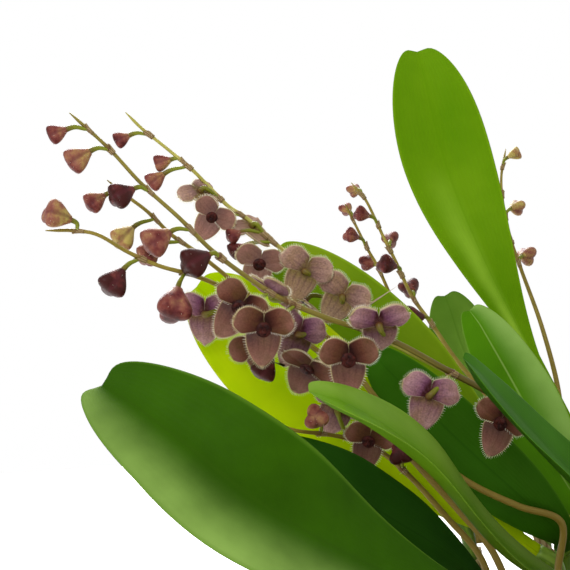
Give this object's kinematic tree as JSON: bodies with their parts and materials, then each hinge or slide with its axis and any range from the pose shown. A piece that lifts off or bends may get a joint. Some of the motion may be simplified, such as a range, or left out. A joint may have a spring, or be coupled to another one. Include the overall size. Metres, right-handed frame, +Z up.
{
  "type": "potted miniature orchid",
  "caption": "Small orchid with fleshy leaves and arching racemes of three-sepalled flowers, rooted in moss in a square slatted wooden basket.",
  "frame": {"origin": "middle of the underside of the basket's middle floor slat, on the surface that it stands on", "axes": "+Z up; the floor slats run along X; the longest racemes lean towards -X and are seen from -Y"},
  "size_m": [0.1625, 0.1384, 0.1689],
  "materials": {
    "slat_wood": "sawn, weathered",
    "rod_wire": "galvanised wire",
    "moss": "damp fibrous moss",
    "leaf": "fleshy leaf, satin",
    "flower": "thin petals with fine hairs"
  },
  "bodies": {
    "root": {"slat_front_1": "slat_wood", "slat_front_2": "slat_wood", "slat_front_3": "slat_wood", "slat_front_4": "slat_wood", "slat_back_1": "slat_wood", "slat_back_2": "slat_wood", "slat_back_3": "slat_wood", "slat_back_4": "slat_wood", "slat_left_1": "slat_wood", "slat_left_2": "slat_wood", "slat_left_3": "slat_wood", "slat_right_1": "slat_wood", "slat_right_2": "slat_wood", "slat_right_3": "slat_wood", "slat_floor_1": "slat_wood", "slat_floor_2": "slat_wood", "slat_floor_3": "slat_wood", "slat_floor_4": "slat_wood", "slat_floor_5": "slat_wood", "rod_left_front": "rod_wire", "rod_right_front": "rod_wire", "rod_right_back": "rod_wire", "rod_left_back": "rod_wire", "moss": "moss", "leafy_stem_1": "leaf", "leafy_stem_2": "leaf", "leafy_stem_3": "leaf", "leafy_stem_4": "leaf", "leafy_stem_5": "leaf", "leafy_stem_6": "leaf", "leafy_stem_7": "leaf", "leafy_stem_8": "leaf", "leafy_stem_9": "leaf", "leafy_stem_10": "leaf", "leafy_stem_11": "leaf", "leafy_stem_12": "leaf", "leafy_stem_13": "leaf", "leafy_stem_14": "leaf", "leafy_stem_15": "leaf", "leafy_stem_16": "leaf", "leafy_stem_17": "leaf", "leafy_stem_18": "leaf", "raceme_1": "flower", "raceme_2": "flower", "raceme_3": "flower", "raceme_4": "flower", "raceme_5": "flower", "raceme_6": "flower", "raceme_7": "flower", "raceme_8": "flower", "raceme_9": "flower", "raceme_10": "flower", "raceme_11": "flower"}
  },
  "joints": []
}
